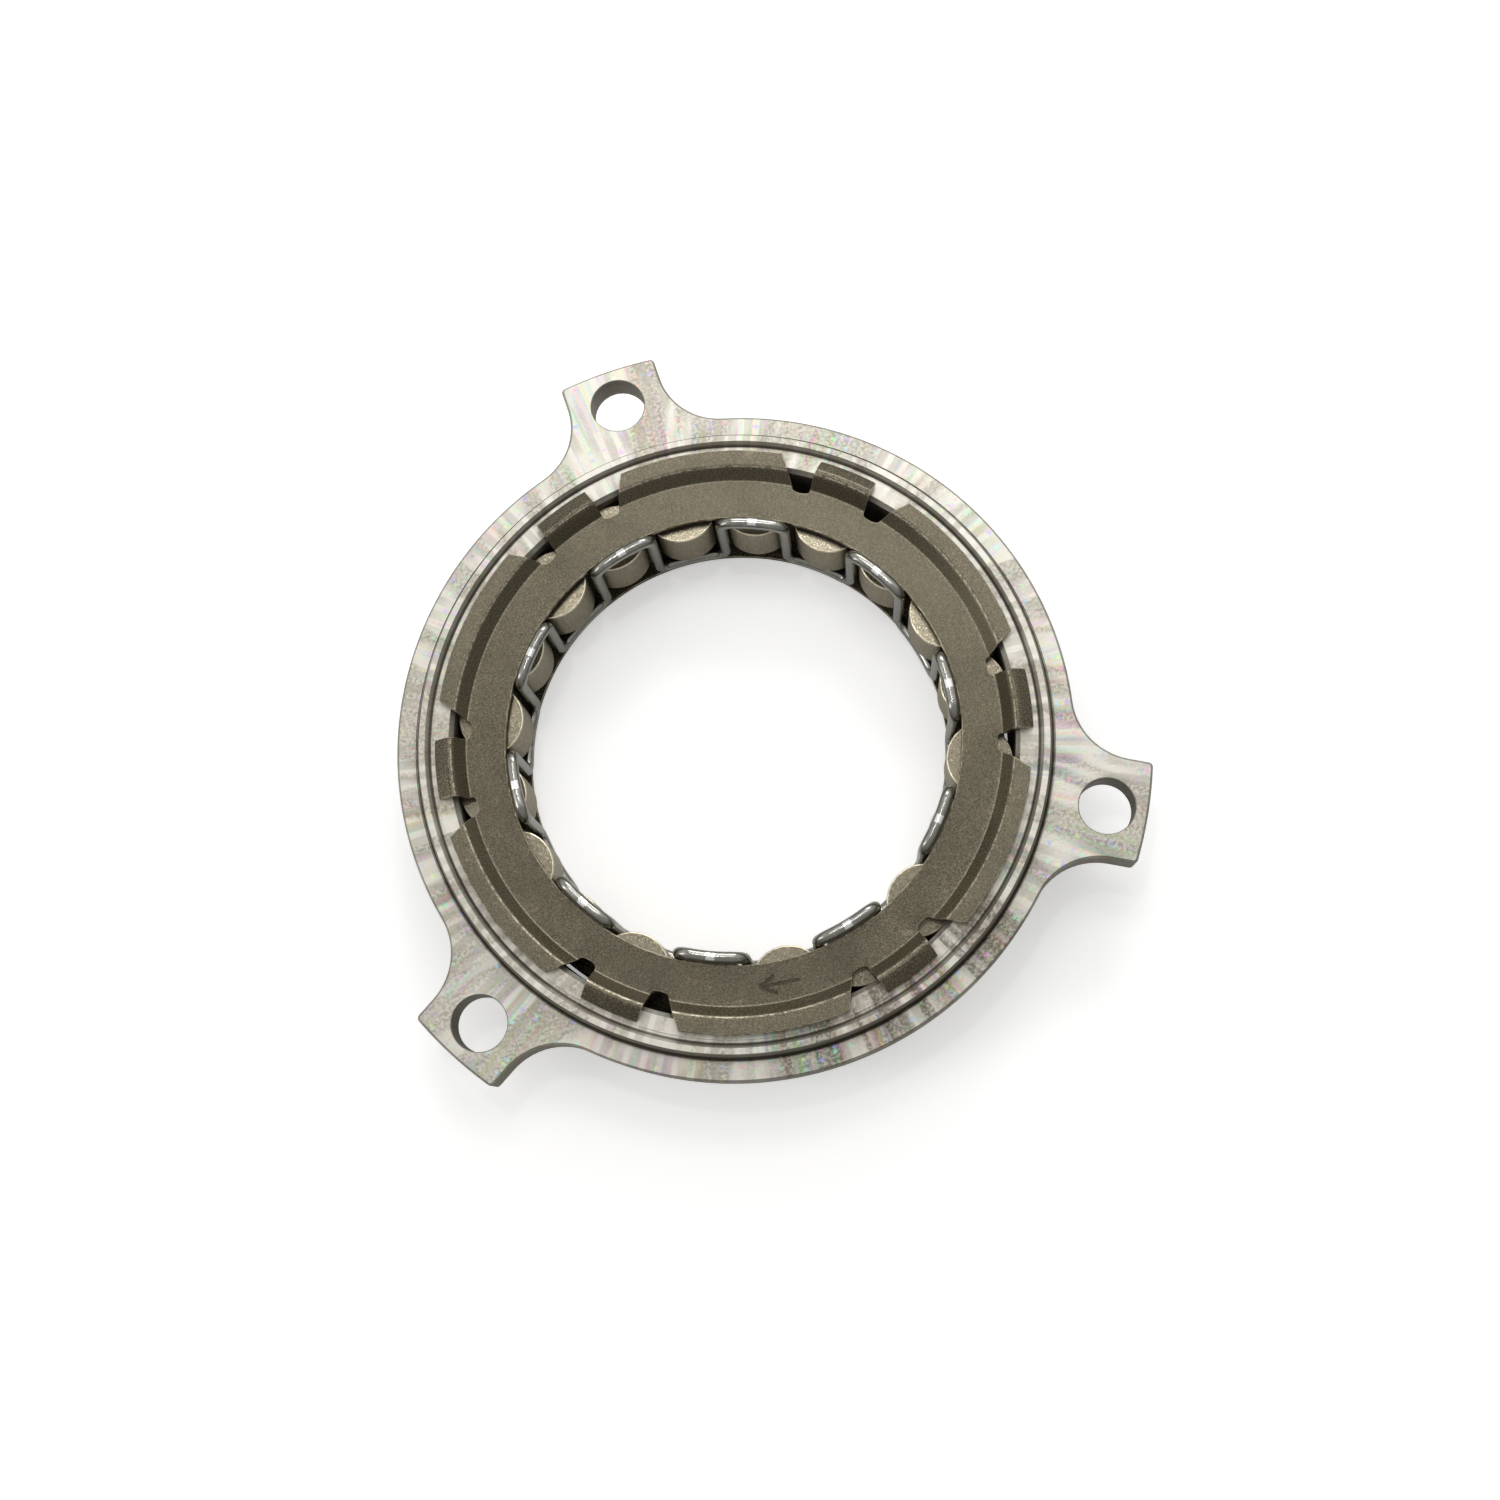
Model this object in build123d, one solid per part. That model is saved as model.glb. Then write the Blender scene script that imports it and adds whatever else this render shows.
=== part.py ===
from build123d import *
import math
import os

# Sprag clutch: outer race with three bolt ears, sheet cage, meander spring and twenty sprags.
# Millimetres and degrees. z = 0 is the ears' seating face, the clutch axis is Z, +Z is out of the
# side with the collar. Angles run anticlockwise from +X, seen from +Z.

# Outer race, sized from the bore that the sprags run in
RACE_R = 35.5
RACE_EDGE_BREAK = 0.55
POCKET_WIDTH = 2.9
POCKET_DEPTH = 0.53
POCKET_WALL_RUN = 0.55
POCKET_GROOVE_WIDTH = 0.45
POCKET_GROOVE_DEPTH = 0.15
COLLAR_LAND = 0.75
COLLAR_HEIGHT = 2.0
COLLAR_TAPER_HEIGHT = 0.75
COLLAR_TAPER_RUN = 0.3
RELIEF_WIDTH = 0.55
RELIEF_DEPTH = 0.3
RELIEF_SLOPE_RUN = 0.2
RING_WIDTH = 3.0
RING_EDGE_BREAK = 0.3
HUB_STEP = 0.3
HUB_EDGE_BREAK = 0.5
HUB_SKIRT = 0.25

# Bolt ears
EAR_COUNT = 3
EAR_ANGLE = 90.0
EAR_THICKNESS = 4.5
BOLT_HOLE_R = 3.5
BOLT_REACH = 4.5
EAR_SIDE_WALL = 2.95
EAR_END_WALL = 1.65
EAR_CORNER_R = 0.6
EAR_ROOT_FILLET = 8.4
HOLE_EDGE_BREAK = 0.12

# Cage: one stamped sheet with tabs round its rim, posts between the sprags and a lower ring that
# the spring stands on
SHEET = 0.7
FLANGE_TOP = 1.0
FLANGE_WIDTH = 5.05
CREASE_INSET = 1.6
BEND_R = 0.25
TAB_COUNT = 6
SHORT_TAB_ANGLE = 47.6
SHORT_TAB_HALF_WIDTH = 3.81
SHORT_TAB_RUN_UP = 1.6
SHORT_TAB_RISE = 2.6
SHORT_TAB_RUN_DOWN = 2.14
SHORT_TAB_FLOOR_GAP = 0.03
LONG_TAB_RUN_UP = 1.35
LONG_TAB_RISE = 1.5
LONG_TAB_RUN_OUT = 2.18
LONG_TAB_EDGE_RISE = 0.16
LONG_TAB_ROOT_HALF_ANGLE = 19.5
LONG_TAB_TIP_HALF_ANGLE = 16.3
NOTCH_R = 1.18
NOTCH_BITE = 0.7
POST_INSET = 3.0
POST_DEPTH = 2.2
POST_WIDTH = 1.5
SPRING_SEAT_GAP = 0.05
LOWER_RING_TIP_GAP = 0.6
LOWER_RING_BORE_GAP = 0.4

# Sprags
SPRAG_COUNT = 20
FIRST_SPRAG_ANGLE = 84.0
SPRAG_LENGTH = 8.0
SPRAG_TOP_GAP = 0.9
RACE_CLEARANCE = 0.06
PIVOT_INSET = 3.7
CAM_GAP = 0.175
OUTER_CAM_EXTRA_R = 0.23
OUTER_CAM_OFFSET = 0.5
FLANK_INSET = 1.06
SPRAG_WAIST = 0.42
SPRAG_CORNER_R = 0.35

# Meander spring
WIRE_R = 0.75
WIRE_BEND_R = 1.6
WIRE_EDGE_GAP = 0.1
TOP_BAR_RISE = 0.56
BOTTOM_BAR_GAP = 1.4
LEG_HALF_ANGLE = 8.45
WIRE_END_GAP = 1.0

# Sizes that follow from the ones above
SPRAG_PITCH = 360.0 / SPRAG_COUNT
TAB_PITCH = 360.0 / TAB_COUNT
POCKET_R = RACE_R + POCKET_WIDTH
POCKET_FLOOR = COLLAR_HEIGHT - POCKET_DEPTH
COLLAR_R = POCKET_R + POCKET_WALL_RUN + COLLAR_LAND + COLLAR_TAPER_RUN
RING_R = COLLAR_R + RING_WIDTH
HUB_R = COLLAR_R + HUB_STEP
BOLT_CIRCLE_R = RING_R + BOLT_REACH
EAR_HALF_WIDTH = BOLT_HOLE_R + EAR_SIDE_WALL
EAR_TIP_R = BOLT_CIRCLE_R + BOLT_HOLE_R + EAR_END_WALL
CREASE_R = RACE_R - CREASE_INSET
FLANGE_INNER_R = CREASE_R - FLANGE_WIDTH
SHORT_TAB_CREST_R = CREASE_R + SHORT_TAB_RUN_UP
SHORT_TAB_CREST_TOP = FLANGE_TOP + SHORT_TAB_RISE
SHORT_TAB_TIP_R = SHORT_TAB_CREST_R + SHORT_TAB_RUN_DOWN
LONG_TAB_BEND_R = CREASE_R + LONG_TAB_RUN_UP
LONG_TAB_BEND_TOP = FLANGE_TOP + LONG_TAB_RISE
LONG_TAB_TIP_R = LONG_TAB_BEND_R + LONG_TAB_RUN_OUT
LONG_TAB_TIP_TOP = LONG_TAB_BEND_TOP + LONG_TAB_EDGE_RISE
NOTCH_BOTTOM_R = CREASE_R - NOTCH_BITE
POST_OUTER_R = RACE_R - POST_INSET
POST_INNER_R = POST_OUTER_R - POST_DEPTH
SPRAG_TOP = FLANGE_TOP - SHEET - SPRAG_TOP_GAP
SPRAG_TIP_R = RACE_R - RACE_CLEARANCE
PIVOT_R = RACE_R - PIVOT_INSET
INNER_CAM_R = PIVOT_R * math.sin(math.radians(SPRAG_PITCH / 2)) - CAM_GAP
OUTER_CAM_R = INNER_CAM_R + OUTER_CAM_EXTRA_R
OUTER_CAM_CENTRE_R = SPRAG_TIP_R - OUTER_CAM_R
SPRAG_HALF_WIDTH = INNER_CAM_R - FLANK_INSET
TOP_BAR_Z = FLANGE_TOP + TOP_BAR_RISE
BOTTOM_BAR_Z = SPRAG_TOP - SPRAG_LENGTH - BOTTOM_BAR_GAP - WIRE_R
LOWER_RING_TOP = BOTTOM_BAR_Z - WIRE_R - SPRING_SEAT_GAP
LOWER_RING_INNER_R = PIVOT_R - INNER_CAM_R + LOWER_RING_TIP_GAP
LOWER_RING_OUTER_R = RACE_R - LOWER_RING_BORE_GAP
HUB_BOTTOM = LOWER_RING_TOP - SHEET - HUB_SKIRT
LEG_R = FLANGE_INNER_R - WIRE_EDGE_GAP - WIRE_R
BAR_R = math.sqrt(LEG_R ** 2 - WIRE_BEND_R ** 2)
BEND_ANGLE = math.degrees(math.asin(WIRE_BEND_R / LEG_R))


def at_angle(x, y, angle):
    """Turn the point (x, y), drawn beside the +Y axis, so that +Y points along the angle."""
    turn = math.radians(angle - 90.0)
    c = math.cos(turn)
    s = math.sin(turn)
    return (x * c - y * s, x * s + y * c)


def on_circle(radius, angle):
    """Point of a circle round the clutch axis."""
    a = math.radians(angle)
    return (radius * math.cos(a), radius * math.sin(a))


def turned(points):
    """Solid of revolution round Z from a closed outline of (radius, z) points."""
    line = Polyline(*[(r, 0, z) for r, z in points], close=True)
    return revolve(make_face(line), Axis.Z, 360)


def ear_edges(angle):
    """Outline of one ear, from its root on the ring's right side to its root on the left."""
    w = EAR_HALF_WIDTH
    root_x = w + EAR_ROOT_FILLET
    root_y = math.sqrt((RING_R + EAR_ROOT_FILLET) ** 2 - root_x ** 2)
    root_reach = math.hypot(root_x, root_y)
    start = (root_x * RING_R / root_reach, root_y * RING_R / root_reach)
    half = 0.5 * (math.pi + math.atan2(-root_y, -root_x) % (2 * math.pi))
    root_mid = (root_x + EAR_ROOT_FILLET * math.cos(half), root_y + EAR_ROOT_FILLET * math.sin(half))
    corner_x = w - EAR_CORNER_R
    corner_y = math.sqrt((EAR_TIP_R - EAR_CORNER_R) ** 2 - corner_x ** 2)
    bearing = math.atan2(corner_y, corner_x)
    tip = (EAR_TIP_R * math.cos(bearing), EAR_TIP_R * math.sin(bearing))
    corner_mid = (
        corner_x + EAR_CORNER_R * math.cos(bearing / 2),
        corner_y + EAR_CORNER_R * math.sin(bearing / 2),
    )

    def arc(a, b, c):
        return ThreePointArc(at_angle(*a, angle), at_angle(*b, angle), at_angle(*c, angle))

    def straight(a, b):
        return Line(at_angle(*a, angle), at_angle(*b, angle))

    def mirrored(point):
        return (-point[0], point[1])

    side_low = (w, root_y)
    side_high = (w, corner_y)
    return [
        arc(start, root_mid, side_low),
        straight(side_low, side_high),
        arc(side_high, corner_mid, tip),
        arc(tip, (0, EAR_TIP_R), mirrored(tip)),
        arc(mirrored(tip), mirrored(corner_mid), mirrored(side_high)),
        straight(mirrored(side_high), mirrored(side_low)),
        arc(mirrored(side_low), mirrored(root_mid), mirrored(start)),
    ]


def plate():
    """The ring and its ears, one thick flat plate with broken edges and the bolt holes."""
    pitch = 360.0 / EAR_COUNT
    edges = []
    for i in range(EAR_COUNT):
        ear = ear_edges(EAR_ANGLE + i * pitch)
        following = ear_edges(EAR_ANGLE + (i + 1) * pitch)
        edges += ear
        middle = on_circle(RING_R, EAR_ANGLE + (i + 0.5) * pitch)
        edges.append(ThreePointArc(ear[-1] @ 1, middle, following[0] @ 0))
    outline = make_face(edges)
    slab = extrude(outline, -EAR_THICKNESS)
    rims = slab.edges().group_by(Axis.Z)
    slab = chamfer(rims[0] + rims[-1], RING_EDGE_BREAK)
    for i in range(EAR_COUNT):
        x, y = on_circle(BOLT_CIRCLE_R, EAR_ANGLE + i * pitch)
        slab -= bolt_hole().moved(Location((x, y, 0)))
    return slab


def bolt_hole():
    """Cutter of one through hole with its edges broken."""
    r = BOLT_HOLE_R
    b = HOLE_EDGE_BREAK
    t = EAR_THICKNESS
    return turned([
        (0, 1),
        (r + b + 1, 1),
        (r, -b),
        (r, -t + b),
        (r + b + 1, -t - 1),
        (0, -t - 1),
    ])


def outer_race():
    """Plate, hub and locating collar in one piece, bored for the sprags and recessed for the cage."""
    relief = turned([
        (COLLAR_R, 0),
        (COLLAR_R + RELIEF_SLOPE_RUN, -RELIEF_DEPTH),
        (COLLAR_R + RELIEF_WIDTH, -RELIEF_DEPTH),
        (COLLAR_R + RELIEF_WIDTH, 1),
        (COLLAR_R, 1),
    ])
    core_inner = RACE_R - 2
    step = -EAR_THICKNESS / 2
    core = turned([
        (core_inner, HUB_BOTTOM),
        (HUB_R - HUB_EDGE_BREAK, HUB_BOTTOM),
        (HUB_R, HUB_BOTTOM + HUB_EDGE_BREAK),
        (HUB_R, step),
        (COLLAR_R, step),
        (COLLAR_R, COLLAR_HEIGHT - COLLAR_TAPER_HEIGHT),
        (COLLAR_R - COLLAR_TAPER_RUN, COLLAR_HEIGHT),
        (core_inner, COLLAR_HEIGHT),
    ])
    floor = POCKET_FLOOR
    wall_top = POCKET_R + POCKET_WALL_RUN
    bore = turned([
        (0, HUB_BOTTOM - 1),
        (RACE_R + HUB_EDGE_BREAK + 1, HUB_BOTTOM - 1),
        (RACE_R, HUB_BOTTOM + HUB_EDGE_BREAK),
        (RACE_R, floor - RACE_EDGE_BREAK),
        (RACE_R + RACE_EDGE_BREAK, floor),
        (POCKET_R - POCKET_GROOVE_WIDTH, floor),
        (POCKET_R - POCKET_GROOVE_WIDTH, floor - POCKET_GROOVE_DEPTH),
        (POCKET_R, floor - POCKET_GROOVE_DEPTH),
        (POCKET_R, floor),
        (wall_top, COLLAR_HEIGHT),
        (wall_top + POCKET_WALL_RUN, COLLAR_HEIGHT + POCKET_DEPTH),
        (0, COLLAR_HEIGHT + POCKET_DEPTH),
    ])
    return (plate() - relief) + core - bore


def sheet_strip(top):
    """Outline of a strip of sheet that lies under a line of (radius, z) points."""
    under = []
    for i, (r, z) in enumerate(top):
        before = top[max(i - 1, 0)]
        after = top[min(i + 1, len(top) - 1)]
        a_in = math.atan2(z - before[1], r - before[0]) if i > 0 else None
        a_out = math.atan2(after[1] - z, after[0] - r) if i < len(top) - 1 else None
        a_in = a_out if a_in is None else a_in
        a_out = a_in if a_out is None else a_out
        mean = 0.5 * (a_in + a_out)
        reach = SHEET / math.cos(0.5 * (a_out - a_in))
        under.append((r + reach * math.sin(mean), z - reach * math.cos(mean)))
    return list(top) + under[::-1]


def bent_sheet(top):
    """Ring of bent sheet whose top surface follows the points, the bends rounded inside and out."""
    points = sheet_strip(top)
    face = make_face(Polyline(*[(r, 0, z) for r, z in points], close=True))
    last = len(top) - 1
    for i in range(1, last):
        turn = math.atan2(top[i + 1][1] - top[i][1], top[i + 1][0] - top[i][0])
        turn -= math.atan2(top[i][1] - top[i - 1][1], top[i][0] - top[i - 1][0])
        over = points[i]
        under = points[len(points) - 1 - i]
        top_r = BEND_R if turn > 0 else BEND_R + SHEET
        under_r = BEND_R + SHEET if turn > 0 else BEND_R
        face = round_corner(face, over, top_r)
        face = round_corner(face, under, under_r)
    return revolve(face, Axis.Z, 360)


def round_corner(face, corner, radius):
    """Fillet the corner of a face that stands at the given (radius, z) point."""
    vertex = face.vertices().sort_by_distance((corner[0], 0, corner[1]))[0]
    return fillet(vertex, radius).face()


def tab_prisms(outline, first_angle):
    """Upright prisms on the tabs' outline, drawn beside +Y, one for each tab of a kind."""
    height = SHORT_TAB_CREST_TOP + 2
    prisms = []
    for i in range(TAB_COUNT):
        angle = first_angle + i * TAB_PITCH
        line = Polyline(*[at_angle(x, y, angle) for x, y in outline], close=True)
        prisms.append(extrude(make_face(line), height))
    return prisms


def short_tabs():
    """Six narrow tabs that rise to a crest and come down on the race's pocket floor."""
    rise = math.atan2(SHORT_TAB_CREST_TOP - POCKET_FLOOR - SHEET, SHORT_TAB_TIP_R - SHORT_TAB_CREST_R)
    tip_top = POCKET_FLOOR + SHORT_TAB_FLOOR_GAP + SHEET * math.cos(rise)
    ring = bent_sheet([
        (CREASE_R - FLANGE_WIDTH / 3, FLANGE_TOP),
        (CREASE_R, FLANGE_TOP),
        (SHORT_TAB_CREST_R, SHORT_TAB_CREST_TOP),
        (SHORT_TAB_TIP_R, tip_top),
    ])
    w = SHORT_TAB_HALF_WIDTH
    outline = [(-w, CREASE_R - 2), (w, CREASE_R - 2), (w, SHORT_TAB_TIP_R + 2), (-w, SHORT_TAB_TIP_R + 2)]
    return [ring & prism for prism in tab_prisms(outline, SHORT_TAB_ANGLE)]


def long_tabs():
    """Six wide tabs between the short ones, nearly level along their rim, with slanted ends."""
    ring = bent_sheet([
        (CREASE_R - FLANGE_WIDTH / 3, FLANGE_TOP),
        (CREASE_R, FLANGE_TOP),
        (LONG_TAB_BEND_R, LONG_TAB_BEND_TOP),
        (LONG_TAB_TIP_R, LONG_TAB_TIP_TOP),
    ])
    root = on_circle(CREASE_R, 90.0 - LONG_TAB_ROOT_HALF_ANGLE)
    tip = on_circle(LONG_TAB_TIP_R, 90.0 - LONG_TAB_TIP_HALF_ANGLE)
    slope = (tip[0] - root[0]) / (tip[1] - root[1])
    low_y = CREASE_R * math.cos(math.radians(LONG_TAB_ROOT_HALF_ANGLE)) - 2
    high_y = LONG_TAB_TIP_R + 2
    low_x = root[0] + slope * (low_y - root[1])
    high_x = root[0] + slope * (high_y - root[1])
    outline = [(-low_x, low_y), (low_x, low_y), (high_x, high_y), (-high_x, high_y)]
    return [ring & prism for prism in tab_prisms(outline, SHORT_TAB_ANGLE - TAB_PITCH / 2)]


def flange():
    """Flat ring of the cage, inside the crease that the tabs rise from."""
    return turned([
        (FLANGE_INNER_R, FLANGE_TOP),
        (CREASE_R, FLANGE_TOP),
        (CREASE_R, FLANGE_TOP - SHEET),
        (FLANGE_INNER_R, FLANGE_TOP - SHEET),
    ])


def notches():
    """Cutters of the notches, each midway between a short tab and the next long one."""
    short_side = math.degrees(math.asin(SHORT_TAB_HALF_WIDTH / CREASE_R))
    long_side = TAB_PITCH / 2 - LONG_TAB_ROOT_HALF_ANGLE
    off = 0.5 * (short_side + long_side)
    cutters = []
    for i in range(TAB_COUNT):
        for side in (-1, 1):
            x, y = on_circle(NOTCH_BOTTOM_R + NOTCH_R, SHORT_TAB_ANGLE + i * TAB_PITCH + side * off)
            cutters.append(Cylinder(NOTCH_R, 4 * SHEET).moved(Location((x, y, FLANGE_TOP - SHEET / 2))))
    return cutters


def posts():
    """Bars that hang from the flange between the sprags, down into the lower ring."""
    top = FLANGE_TOP - SHEET / 2
    bottom = LOWER_RING_TOP - SHEET / 2
    middle_r = 0.5 * (POST_INNER_R + POST_OUTER_R)
    bar = Box(POST_OUTER_R - POST_INNER_R, POST_WIDTH, top - bottom)
    bars = []
    for i in range(SPRAG_COUNT):
        angle = FIRST_SPRAG_ANGLE + (i + 0.5) * SPRAG_PITCH
        place = Rot(0, 0, angle) * Pos(middle_r, 0, 0.5 * (top + bottom))
        bars.append(place * bar)
    return bars


def cage():
    """Flange, tabs, posts and lower ring in one piece."""
    lower = turned([
        (LOWER_RING_INNER_R, LOWER_RING_TOP),
        (LOWER_RING_OUTER_R, LOWER_RING_TOP),
        (LOWER_RING_OUTER_R, LOWER_RING_TOP - SHEET),
        (LOWER_RING_INNER_R, LOWER_RING_TOP - SHEET),
    ])
    body = flange()
    body = body.fuse(*short_tabs(), *long_tabs()).clean()
    body = body.cut(*notches())
    return body.fuse(lower, *posts()).clean()


def sprag():
    """One sprag beside the +Y axis: inner cam, outer cam and hollowed flanks, upright."""
    w = SPRAG_HALF_WIDTH
    low = PIVOT_R - math.sqrt(INNER_CAM_R ** 2 - w ** 2)
    right = OUTER_CAM_CENTRE_R + math.sqrt(OUTER_CAM_R ** 2 - (w - OUTER_CAM_OFFSET) ** 2)
    left = OUTER_CAM_CENTRE_R + math.sqrt(OUTER_CAM_R ** 2 - (w + OUTER_CAM_OFFSET) ** 2)
    waist = w - SPRAG_WAIST
    outline = make_face([
        ThreePointArc((-w, low), (0, PIVOT_R - INNER_CAM_R), (w, low)),
        ThreePointArc((w, low), (waist, 0.5 * (low + right)), (w, right)),
        ThreePointArc((w, right), (OUTER_CAM_OFFSET, SPRAG_TIP_R), (-w, left)),
        ThreePointArc((-w, left), (-waist, 0.5 * (low + left)), (-w, low)),
    ])
    outline = fillet(outline.vertices(), SPRAG_CORNER_R)
    return extrude(outline, -SPRAG_LENGTH).moved(Location((0, 0, SPRAG_TOP)))


def wire_disc(angle, z, side):
    """Round section of the wire on the bar radius, facing along the bar to the given side."""
    x, y = on_circle(BAR_R, angle)
    out = on_circle(1.0, angle)
    along = on_circle(1.0, angle + 90.0 * side)
    return Plane(origin=(x, y, z), x_dir=(*out, 0), z_dir=(*along, 0)) * Circle(WIRE_R)


def spring_bar(start, end, z):
    """Level bar of the wire, an arc round the clutch axis between two angles."""
    return revolve(wire_disc(start, z, 1), Axis.Z, end - start)


def spring_bend(angle, z, side, towards):
    """Quarter bend from the end of a level bar into an upright leg, in a plane square to the radius."""
    x, y = on_circle(BAR_R, angle)
    hinge = Axis((x, y, z + towards * WIRE_BEND_R), (*on_circle(1.0, angle), 0))
    return revolve(wire_disc(angle, z, side), hinge, 90.0 * towards * side)


def spring_leg(angle, side):
    """Upright leg that starts where the bend at a top bar's end leaves off."""
    x, y = on_circle(LEG_R, angle + side * BEND_ANGLE)
    height = TOP_BAR_Z - BOTTOM_BAR_Z - 2 * WIRE_BEND_R
    return Pos(x, y, 0.5 * (TOP_BAR_Z + BOTTOM_BAR_Z)) * Cylinder(WIRE_R, height)


def meander_spring():
    """Round wire that runs over one sprag and under the next, its two ends meeting under a sprag."""
    top_half = LEG_HALF_ANGLE - BEND_ANGLE
    bottom_half = SPRAG_PITCH - LEG_HALF_ANGLE - BEND_ANGLE
    seam = math.degrees(0.5 * WIRE_END_GAP / BAR_R)
    lengths = []
    loops = SPRAG_COUNT // 2
    seam_angle = FIRST_SPRAG_ANGLE + 180.0
    for i in range(loops):
        under = seam_angle + 2 * i * SPRAG_PITCH
        over = under + SPRAG_PITCH
        lengths.append(spring_bar(over - top_half, over + top_half, TOP_BAR_Z))
        if i == 0:
            lengths.append(spring_bar(under - bottom_half, under - seam, BOTTOM_BAR_Z))
            lengths.append(spring_bar(under + seam, under + bottom_half, BOTTOM_BAR_Z))
        else:
            lengths.append(spring_bar(under - bottom_half, under + bottom_half, BOTTOM_BAR_Z))
        for side in (-1, 1):
            lengths.append(spring_bend(over + side * top_half, TOP_BAR_Z, side, -1))
            lengths.append(spring_leg(over + side * top_half, side))
            lengths.append(spring_bend(under + side * bottom_half, BOTTOM_BAR_Z, side, 1))
    return lengths[0].fuse(*lengths[1:])


def main():
    """Build every piece and write it to its own file."""
    os.makedirs("parts", exist_ok=True)
    export_step(outer_race(), "parts/outer_race.step")
    export_step(cage(), "parts/cage.step")
    export_step(meander_spring(), "parts/meander_spring.step")
    one = sprag()
    for i in range(SPRAG_COUNT):
        angle = FIRST_SPRAG_ANGLE + i * SPRAG_PITCH
        export_step(Rot(0, 0, angle - 90.0) * one, f"parts/sprag_{i + 1:02d}.step")


main()
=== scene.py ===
"""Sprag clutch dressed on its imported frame: eared race, stamped cage, meander spring and sprags."""
import cmath
import logging
import math
from dataclasses import dataclass
from enum import Enum
from functools import reduce
from typing import Callable, Iterable, Sequence

import bmesh
import bpy
from mathutils import Euler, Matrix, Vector


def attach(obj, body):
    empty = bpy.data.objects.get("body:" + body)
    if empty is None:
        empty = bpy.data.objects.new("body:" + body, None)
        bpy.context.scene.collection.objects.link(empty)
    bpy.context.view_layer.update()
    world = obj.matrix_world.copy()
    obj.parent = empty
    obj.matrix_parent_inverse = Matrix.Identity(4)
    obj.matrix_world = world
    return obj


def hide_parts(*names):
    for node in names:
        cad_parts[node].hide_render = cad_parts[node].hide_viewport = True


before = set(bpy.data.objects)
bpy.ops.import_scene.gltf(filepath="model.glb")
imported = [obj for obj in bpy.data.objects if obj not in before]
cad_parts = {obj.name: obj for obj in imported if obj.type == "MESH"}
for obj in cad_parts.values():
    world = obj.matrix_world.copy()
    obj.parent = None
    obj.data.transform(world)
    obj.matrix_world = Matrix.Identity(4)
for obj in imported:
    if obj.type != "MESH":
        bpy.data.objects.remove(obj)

log = logging.getLogger("sprag_clutch")

MM = 0.001
SHARP_DEGREES = 32.0

Point2 = tuple[float, float]
Point3 = tuple[float, float, float]
Link = tuple[bpy.types.Node, str]
Row = Sequence[bmesh.types.BMVert]


class Steel(Enum):
    """Names of the record's material slots, one for each steel; nothing in this script reads them."""

    RACE = "race_steel"
    CAGE = "cage_steel"
    SPRING = "spring_steel"
    SPRAG = "sprag_steel"


# Colour and node helpers


def linear(hex_code: str) -> list[float]:
    """Turn an sRGB hex colour into the linear RGBA that Blender's shaders take."""
    parts = [int(hex_code[i:i + 2], 16) / 255.0 for i in (1, 3, 5)]
    return [p / 12.92 if p <= 0.04045 else ((p + 0.055) / 1.055) ** 2.4 for p in parts] + [1.0]


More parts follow.
